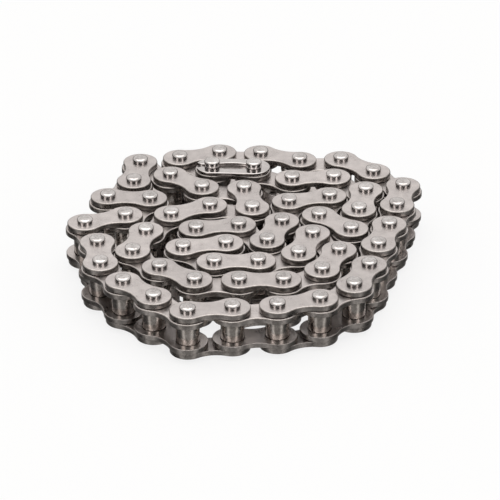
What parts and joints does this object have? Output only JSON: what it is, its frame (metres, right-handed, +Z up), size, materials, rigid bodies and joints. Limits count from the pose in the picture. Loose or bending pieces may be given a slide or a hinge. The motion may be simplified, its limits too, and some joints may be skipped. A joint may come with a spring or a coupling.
{
  "type": "roller chain",
  "caption": "Short-pitch bush chain lying on its side in a flat coil: waisted plates, riveted pins, pressed bushes, and a connecting link with a spring clip.",
  "frame": {"origin": "centre of the coil's footprint, on the surface that the lower pin ends rest on", "axes": "+Z up, along every pivot; +Y to the back of the coil, where the connecting link is; +X to the right"},
  "size_m": [0.0798, 0.0824, 0.0134],
  "materials": {
    "outer_link_steel": "satin, tumbled",
    "inner_link_steel": "satin, tumbled",
    "spring_steel": "bright satin"
  },
  "bodies": {
    "connecting_link": {"connecting_link_pins": "outer_link_steel", "connecting_cover_plate": "outer_link_steel", "spring_clip": "spring_steel"},
    "inner_link_01": {"inner_link_01": "inner_link_steel"},
    "outer_link_01": {"outer_link_01": "outer_link_steel"},
    "inner_link_02": {"inner_link_02": "inner_link_steel"},
    "outer_link_02": {"outer_link_02": "outer_link_steel"},
    "inner_link_03": {"inner_link_03": "inner_link_steel"},
    "outer_link_03": {"outer_link_03": "outer_link_steel"},
    "inner_link_04": {"inner_link_04": "inner_link_steel"},
    "outer_link_04": {"outer_link_04": "outer_link_steel"},
    "inner_link_05": {"inner_link_05": "inner_link_steel"},
    "outer_link_05": {"outer_link_05": "outer_link_steel"},
    "inner_link_06": {"inner_link_06": "inner_link_steel"},
    "outer_link_06": {"outer_link_06": "outer_link_steel"},
    "inner_link_07": {"inner_link_07": "inner_link_steel"},
    "outer_link_07": {"outer_link_07": "outer_link_steel"},
    "inner_link_08": {"inner_link_08": "inner_link_steel"},
    "outer_link_08": {"outer_link_08": "outer_link_steel"},
    "inner_link_09": {"inner_link_09": "inner_link_steel"},
    "outer_link_09": {"outer_link_09": "outer_link_steel"},
    "inner_link_10": {"inner_link_10": "inner_link_steel"},
    "outer_link_10": {"outer_link_10": "outer_link_steel"},
    "inner_link_11": {"inner_link_11": "inner_link_steel"},
    "outer_link_11": {"outer_link_11": "outer_link_steel"},
    "inner_link_12": {"inner_link_12": "inner_link_steel"},
    "outer_link_12": {"outer_link_12": "outer_link_steel"},
    "inner_link_13": {"inner_link_13": "inner_link_steel"},
    "outer_link_13": {"outer_link_13": "outer_link_steel"},
    "inner_link_14": {"inner_link_14": "inner_link_steel"},
    "outer_link_14": {"outer_link_14": "outer_link_steel"},
    "inner_link_15": {"inner_link_15": "inner_link_steel"},
    "outer_link_15": {"outer_link_15": "outer_link_steel"},
    "inner_link_16": {"inner_link_16": "inner_link_steel"},
    "outer_link_16": {"outer_link_16": "outer_link_steel"},
    "inner_link_17": {"inner_link_17": "inner_link_steel"},
    "outer_link_17": {"outer_link_17": "outer_link_steel"},
    "inner_link_18": {"inner_link_18": "inner_link_steel"},
    "outer_link_18": {"outer_link_18": "outer_link_steel"},
    "inner_link_19": {"inner_link_19": "inner_link_steel"},
    "outer_link_19": {"outer_link_19": "outer_link_steel"},
    "inner_link_20": {"inner_link_20": "inner_link_steel"},
    "outer_link_20": {"outer_link_20": "outer_link_steel"},
    "inner_link_21": {"inner_link_21": "inner_link_steel"},
    "outer_link_21": {"outer_link_21": "outer_link_steel"},
    "inner_link_22": {"inner_link_22": "inner_link_steel"},
    "outer_link_22": {"outer_link_22": "outer_link_steel"},
    "inner_link_23": {"inner_link_23": "inner_link_steel"},
    "outer_link_23": {"outer_link_23": "outer_link_steel"},
    "inner_link_24": {"inner_link_24": "inner_link_steel"},
    "outer_link_24": {"outer_link_24": "outer_link_steel"},
    "inner_link_25": {"inner_link_25": "inner_link_steel"},
    "straight_run": {"straight_run": "outer_link_steel"},
    "inner_link_27": {"inner_link_27": "inner_link_steel"},
    "outer_link_27": {"outer_link_27": "outer_link_steel"},
    "inner_link_28": {"inner_link_28": "inner_link_steel"},
    "outer_link_28": {"outer_link_28": "outer_link_steel"},
    "inner_link_29": {"inner_link_29": "inner_link_steel"},
    "outer_link_29": {"outer_link_29": "outer_link_steel"},
    "inner_link_30": {"inner_link_30": "inner_link_steel"}
  },
  "joints": [
    {"name": "uncoil", "type": "hinge", "parent": "outer_link_15", "child": "inner_link_15", "pos_m": [0.00145, 0.00963, 0.006], "axis": [0, 0, 1], "range_deg": [0, 94.1]},
    {"name": "pivot_29", "type": "hinge", "parent": "inner_link_15", "child": "outer_link_14", "pos_m": [-0.00802, 0.01065, 0.006], "axis": [0, 0, 1], "range_deg": [-46.79, 0]},
    {"name": "pivot_28", "type": "hinge", "parent": "outer_link_14", "child": "inner_link_14", "pos_m": [-0.0166, 0.00651, 0.006], "axis": [0, 0, 1], "range_deg": [-48.2, 0]},
    {"name": "pivot_27", "type": "hinge", "parent": "inner_link_14", "child": "outer_link_13", "pos_m": [-0.02197, -0.00136, 0.006], "axis": [0, 0, 1], "range_deg": [-37.05, 0]},
    {"name": "pivot_26", "type": "hinge", "parent": "outer_link_13", "child": "inner_link_13", "pos_m": [-0.02461, -0.01051, 0.006], "axis": [0, 0, 1], "range_deg": [-72.47, 0]},
    {"name": "pivot_25", "type": "hinge", "parent": "inner_link_13", "child": "outer_link_12", "pos_m": [-0.01858, -0.01788, 0.006], "axis": [0, 0, 1], "range_deg": [-23.99, 0]},
    {"name": "pivot_24", "type": "hinge", "parent": "outer_link_12", "child": "inner_link_12", "pos_m": [-0.01093, -0.02356, 0.006], "axis": [0, 0, 1], "range_deg": [-38.01, 0]},
    {"name": "pivot_23", "type": "hinge", "parent": "inner_link_12", "child": "outer_link_11", "pos_m": [-0.00141, -0.02364, 0.006], "axis": [0, 0, 1], "range_deg": [0, 3.85]},
    {"name": "pivot_22", "type": "hinge", "parent": "outer_link_11", "child": "inner_link_11", "pos_m": [0.00812, -0.02352, 0.006], "axis": [0, 0, 1], "range_deg": [-15.82, 0]},
    {"name": "pivot_21", "type": "hinge", "parent": "inner_link_11", "child": "outer_link_10", "pos_m": [0.01647, -0.01893, 0.006], "axis": [0, 0, 1], "range_deg": [-13.04, 0]},
    {"name": "pivot_20", "type": "hinge", "parent": "outer_link_10", "child": "inner_link_10", "pos_m": [0.02034, -0.01023, 0.006], "axis": [0, 0, 1], "range_deg": [-32.29, 0]},
    {"name": "pivot_19", "type": "hinge", "parent": "inner_link_10", "child": "outer_link_09", "pos_m": [0.01473, -0.00254, 0.006], "axis": [0, 0, 1], "range_deg": [-108.51, 0]},
    {"name": "pivot_18", "type": "hinge", "parent": "outer_link_09", "child": "inner_link_09", "pos_m": [0.01151, -0.0115, 0.006], "axis": [0, 0, 1], "range_deg": [0, 58.39]},
    {"name": "pivot_17", "type": "hinge", "parent": "inner_link_09", "child": "outer_link_08", "pos_m": [0.00271, -0.01516, 0.006], "axis": [0, 0, 1], "range_deg": [0, 17.25]},
    {"name": "pivot_16", "type": "hinge", "parent": "outer_link_08", "child": "inner_link_08", "pos_m": [-0.00681, -0.0155, 0.006], "axis": [0, 0, 1], "range_deg": [0, 27.34]},
    {"name": "pivot_15", "type": "hinge", "parent": "inner_link_08", "child": "outer_link_07", "pos_m": [-0.01368, -0.0089, 0.006], "axis": [0, 0, 1], "range_deg": [0, 93.57]},
    {"name": "pivot_14", "type": "hinge", "parent": "outer_link_07", "child": "inner_link_07", "pos_m": [-0.00433, -0.00706, 0.006], "axis": [0, 0, 1], "range_deg": [-141.15, 0]},
    {"name": "pivot_13", "type": "hinge", "parent": "inner_link_07", "child": "outer_link_06", "pos_m": [-0.01097, -0.00022, 0.006], "axis": [0, 0, 1], "range_deg": [0, 93.97]},
    {"name": "pivot_12", "type": "hinge", "parent": "outer_link_06", "child": "inner_link_06", "pos_m": [-0.00159, 0.00143, 0.006], "axis": [0, 0, 1], "range_deg": [0, 38.78]},
    {"name": "pivot_11", "type": "hinge", "parent": "inner_link_06", "child": "outer_link_05", "pos_m": [0.0047, -0.00573, 0.006], "axis": [0, 0, 1], "range_deg": [-128.55, 0]},
    {"name": "pivot_10", "type": "hinge", "parent": "outer_link_05", "child": "inner_link_05", "pos_m": [0.00803, 0.00319, 0.006], "axis": [0, 0, 1], "range_deg": [-21.27, 0]},
    {"name": "pivot_09", "type": "hinge", "parent": "inner_link_05", "child": "outer_link_04", "pos_m": [0.00969, 0.01257, 0.006], "axis": [0, 0, 1], "range_deg": [0, 50.83]},
    {"name": "pivot_08", "type": "hinge", "parent": "outer_link_04", "child": "inner_link_04", "pos_m": [0.01883, 0.01526, 0.006], "axis": [0, 0, 1], "range_deg": [0, 115.65]},
    {"name": "pivot_07", "type": "hinge", "parent": "inner_link_04", "child": "outer_link_03", "pos_m": [0.01631, 0.00607, 0.006], "axis": [0, 0, 1], "range_deg": [-64, 0]},
    {"name": "pivot_06", "type": "hinge", "parent": "outer_link_03", "child": "inner_link_03", "pos_m": [0.02323, -0.00047, 0.006], "axis": [0, 0, 1], "range_deg": [-114.15, 0]},
    {"name": "pivot_05", "type": "hinge", "parent": "inner_link_03", "child": "outer_link_02", "pos_m": [0.02525, 0.00884, 0.006], "axis": [0, 0, 1], "range_deg": [0, 4.65]},
    {"name": "pivot_04", "type": "hinge", "parent": "outer_link_02", "child": "inner_link_02", "pos_m": [0.02709, 0.01818, 0.006], "axis": [0, 0, 1], "range_deg": [-54.75, 0]},
    {"name": "pivot_03", "type": "hinge", "parent": "inner_link_02", "child": "outer_link_01", "pos_m": [0.02001, 0.02455, 0.006], "axis": [0, 0, 1], "range_deg": [-44.96, 0]},
    {"name": "pivot_02", "type": "hinge", "parent": "outer_link_01", "child": "inner_link_01", "pos_m": [0.0105, 0.02392, 0.006], "axis": [0, 0, 1], "range_deg": [0, 27.78]},
    {"name": "pivot_01", "type": "hinge", "parent": "inner_link_01", "child": "connecting_link", "pos_m": [0.0018, 0.02778, 0.006], "axis": [0, 0, 1], "range_deg": [-21.15, 0]},
    {"name": "pivot_31", "type": "hinge", "parent": "outer_link_15", "child": "inner_link_16", "pos_m": [-0.0004, 0.01898, 0.006], "axis": [0, 0, 1], "range_deg": [-57.7, 0]},
    {"name": "pivot_32", "type": "hinge", "parent": "inner_link_16", "child": "outer_link_16", "pos_m": [-0.00991, 0.01951, 0.006], "axis": [0, 0, 1], "range_deg": [0, 54.91]},
    {"name": "pivot_33", "type": "hinge", "parent": "outer_link_16", "child": "inner_link_17", "pos_m": [-0.01723, 0.0256, 0.006], "axis": [0, 0, 1], "range_deg": [0, 24.25]},
    {"name": "pivot_34", "type": "hinge", "parent": "inner_link_17", "child": "outer_link_17", "pos_m": [-0.02426, 0.03203, 0.006], "axis": [0, 0, 1], "range_deg": [-100.34, 0]},
    {"name": "pivot_35", "type": "hinge", "parent": "outer_link_17", "child": "inner_link_18", "pos_m": [-0.02544, 0.02257, 0.006], "axis": [0, 0, 1], "range_deg": [0, 47.95]},
    {"name": "pivot_36", "type": "hinge", "parent": "inner_link_18", "child": "outer_link_18", "pos_m": [-0.031, 0.01484, 0.006], "axis": [0, 0, 1], "range_deg": [-104.98, 0]},
    {"name": "pivot_37", "type": "hinge", "parent": "outer_link_18", "child": "inner_link_19", "pos_m": [-0.02152, 0.01393, 0.006], "axis": [0, 0, 1], "range_deg": [0, 132.01]},
    {"name": "pivot_38", "type": "hinge", "parent": "inner_link_19", "child": "outer_link_19", "pos_m": [-0.02675, 0.00597, 0.006], "axis": [0, 0, 1], "range_deg": [0, 45.17]},
    {"name": "pivot_39", "type": "hinge", "parent": "outer_link_19", "child": "inner_link_20", "pos_m": [-0.0356, 0.00243, 0.006], "axis": [0, 0, 1], "range_deg": [-78.51, 0]},
    {"name": "pivot_40", "type": "hinge", "parent": "inner_link_20", "child": "outer_link_20", "pos_m": [-0.03246, -0.00656, 0.006], "axis": [0, 0, 1], "range_deg": [0, 16.96]},
    {"name": "pivot_41", "type": "hinge", "parent": "outer_link_20", "child": "inner_link_21", "pos_m": [-0.0314, -0.01603, 0.006], "axis": [0, 0, 1], "range_deg": [-27.14, 0]},
    {"name": "pivot_42", "type": "hinge", "parent": "inner_link_21", "child": "outer_link_21", "pos_m": [-0.02622, -0.02403, 0.006], "axis": [0, 0, 1], "range_deg": [-16.89, 0]},
    {"name": "pivot_43", "type": "hinge", "parent": "outer_link_21", "child": "inner_link_22", "pos_m": [-0.01951, -0.03078, 0.006], "axis": [0, 0, 1], "range_deg": [-14.26, 0]},
    {"name": "pivot_44", "type": "hinge", "parent": "inner_link_22", "child": "outer_link_22", "pos_m": [-0.01218, -0.03687, 0.006], "axis": [0, 0, 1], "range_deg": [-60.15, 0]},
    {"name": "pivot_45", "type": "hinge", "parent": "outer_link_22", "child": "inner_link_23", "pos_m": [-0.00276, -0.03553, 0.006], "axis": [0, 0, 1], "range_deg": [-9.4, 0]},
    {"name": "pivot_46", "type": "hinge", "parent": "inner_link_23", "child": "outer_link_23", "pos_m": [0.00672, -0.03457, 0.006], "axis": [0, 0, 1], "range_deg": [-23.76, 0]},
    {"name": "pivot_47", "type": "hinge", "parent": "outer_link_23", "child": "inner_link_24", "pos_m": [0.01578, -0.03164, 0.006], "axis": [0, 0, 1], "range_deg": [-38.35, 0]},
    {"name": "pivot_48", "type": "hinge", "parent": "inner_link_24", "child": "outer_link_24", "pos_m": [0.02319, -0.02564, 0.006], "axis": [0, 0, 1], "range_deg": [-49.56, 0]},
    {"name": "pivot_49", "type": "hinge", "parent": "outer_link_24", "child": "inner_link_25", "pos_m": [0.0267, -0.01679, 0.006], "axis": [0, 0, 1], "range_deg": [-26.78, 0]},
    {"name": "pivot_50", "type": "hinge", "parent": "inner_link_25", "child": "straight_run", "pos_m": [0.02902, -0.00755, 0.006], "axis": [0, 0, 1], "range_deg": [-15.02, 0]},
    {"name": "pivot_53", "type": "hinge", "parent": "straight_run", "child": "inner_link_27", "pos_m": [0.0356, 0.02023, 0.006], "axis": [0, 0, 1], "range_deg": [-67.3, 0]},
    {"name": "pivot_54", "type": "hinge", "parent": "inner_link_27", "child": "outer_link_27", "pos_m": [0.02912, 0.02721, 0.006], "axis": [0, 0, 1], "range_deg": [-13.24, 0]},
    {"name": "pivot_55", "type": "hinge", "parent": "outer_link_27", "child": "inner_link_28", "pos_m": [0.02187, 0.03339, 0.006], "axis": [0, 0, 1], "range_deg": [-45.73, 0]},
    {"name": "pivot_56", "type": "hinge", "parent": "inner_link_28", "child": "outer_link_28", "pos_m": [0.01235, 0.0331, 0.006], "axis": [0, 0, 1], "range_deg": [0, 19.08]},
    {"name": "pivot_57", "type": "hinge", "parent": "outer_link_28", "child": "inner_link_29", "pos_m": [0.00341, 0.03638, 0.006], "axis": [0, 0, 1], "range_deg": [-20.04, 0]},
    {"name": "pivot_58", "type": "hinge", "parent": "inner_link_29", "child": "outer_link_29", "pos_m": [-0.0061, 0.03687, 0.006], "axis": [0, 0, 1], "range_deg": [-22.22, 0]},
    {"name": "pivot_59", "type": "hinge", "parent": "outer_link_29", "child": "inner_link_30", "pos_m": [-0.01522, 0.03412, 0.006], "axis": [0, 0, 1], "range_deg": [-127.09, 0]}
  ],
  "couplings": [
    {"joint": "pivot_29", "follows": "uncoil", "ratio": -0.4971},
    {"joint": "pivot_28", "follows": "uncoil", "ratio": -0.5121},
    {"joint": "pivot_27", "follows": "uncoil", "ratio": -0.3936},
    {"joint": "pivot_26", "follows": "uncoil", "ratio": -0.77},
    {"joint": "pivot_25", "follows": "uncoil", "ratio": -0.2548},
    {"joint": "pivot_24", "follows": "uncoil", "ratio": -0.4038},
    {"joint": "pivot_23", "follows": "uncoil", "ratio": 0.0408},
    {"joint": "pivot_22", "follows": "uncoil", "ratio": -0.168},
    {"joint": "pivot_21", "follows": "uncoil", "ratio": -0.1384},
    {"joint": "pivot_20", "follows": "uncoil", "ratio": -0.343},
    {"joint": "pivot_19", "follows": "uncoil", "ratio": -1.153},
    {"joint": "pivot_18", "follows": "uncoil", "ratio": 0.6204},
    {"joint": "pivot_17", "follows": "uncoil", "ratio": 0.1832},
    {"joint": "pivot_16", "follows": "uncoil", "ratio": 0.2904},
    {"joint": "pivot_15", "follows": "uncoil", "ratio": 0.9942},
    {"joint": "pivot_14", "follows": "uncoil", "ratio": -1.4998},
    {"joint": "pivot_13", "follows": "uncoil", "ratio": 0.9985},
    {"joint": "pivot_12", "follows": "uncoil", "ratio": 0.412},
    {"joint": "pivot_11", "follows": "uncoil", "ratio": -1.3659},
    {"joint": "pivot_10", "follows": "uncoil", "ratio": -0.2259},
    {"joint": "pivot_09", "follows": "uncoil", "ratio": 0.54},
    {"joint": "pivot_08", "follows": "uncoil", "ratio": 1.2289},
    {"joint": "pivot_07", "follows": "uncoil", "ratio": -0.68},
    {"joint": "pivot_06", "follows": "uncoil", "ratio": -1.2129},
    {"joint": "pivot_05", "follows": "uncoil", "ratio": 0.0493},
    {"joint": "pivot_04", "follows": "uncoil", "ratio": -0.5817},
    {"joint": "pivot_03", "follows": "uncoil", "ratio": -0.4776},
    {"joint": "pivot_02", "follows": "uncoil", "ratio": 0.2951},
    {"joint": "pivot_01", "follows": "uncoil", "ratio": -0.2246},
    {"joint": "pivot_31", "follows": "uncoil", "ratio": -0.613},
    {"joint": "pivot_32", "follows": "uncoil", "ratio": 0.5834},
    {"joint": "pivot_33", "follows": "uncoil", "ratio": 0.2575},
    {"joint": "pivot_34", "follows": "uncoil", "ratio": -1.0662},
    {"joint": "pivot_35", "follows": "uncoil", "ratio": 0.5094},
    {"joint": "pivot_36", "follows": "uncoil", "ratio": -1.1155},
    {"joint": "pivot_37", "follows": "uncoil", "ratio": 1.4027},
    {"joint": "pivot_38", "follows": "uncoil", "ratio": 0.4799},
    {"joint": "pivot_39", "follows": "uncoil", "ratio": -0.8342},
    {"joint": "pivot_40", "follows": "uncoil", "ratio": 0.1801},
    {"joint": "pivot_41", "follows": "uncoil", "ratio": -0.2883},
    {"joint": "pivot_42", "follows": "uncoil", "ratio": -0.1793},
    {"joint": "pivot_43", "follows": "uncoil", "ratio": -0.1514},
    {"joint": "pivot_44", "follows": "uncoil", "ratio": -0.6391},
    {"joint": "pivot_45", "follows": "uncoil", "ratio": -0.0997},
    {"joint": "pivot_46", "follows": "uncoil", "ratio": -0.2523},
    {"joint": "pivot_47", "follows": "uncoil", "ratio": -0.4074},
    {"joint": "pivot_48", "follows": "uncoil", "ratio": -0.5265},
    {"joint": "pivot_49", "follows": "uncoil", "ratio": -0.2844},
    {"joint": "pivot_50", "follows": "uncoil", "ratio": -0.1595},
    {"joint": "pivot_53", "follows": "uncoil", "ratio": -0.715},
    {"joint": "pivot_54", "follows": "uncoil", "ratio": -0.1405},
    {"joint": "pivot_55", "follows": "uncoil", "ratio": -0.4858},
    {"joint": "pivot_56", "follows": "uncoil", "ratio": 0.2026},
    {"joint": "pivot_57", "follows": "uncoil", "ratio": -0.2128},
    {"joint": "pivot_58", "follows": "uncoil", "ratio": -0.236},
    {"joint": "pivot_59", "follows": "uncoil", "ratio": -1.3504}
  ]
}
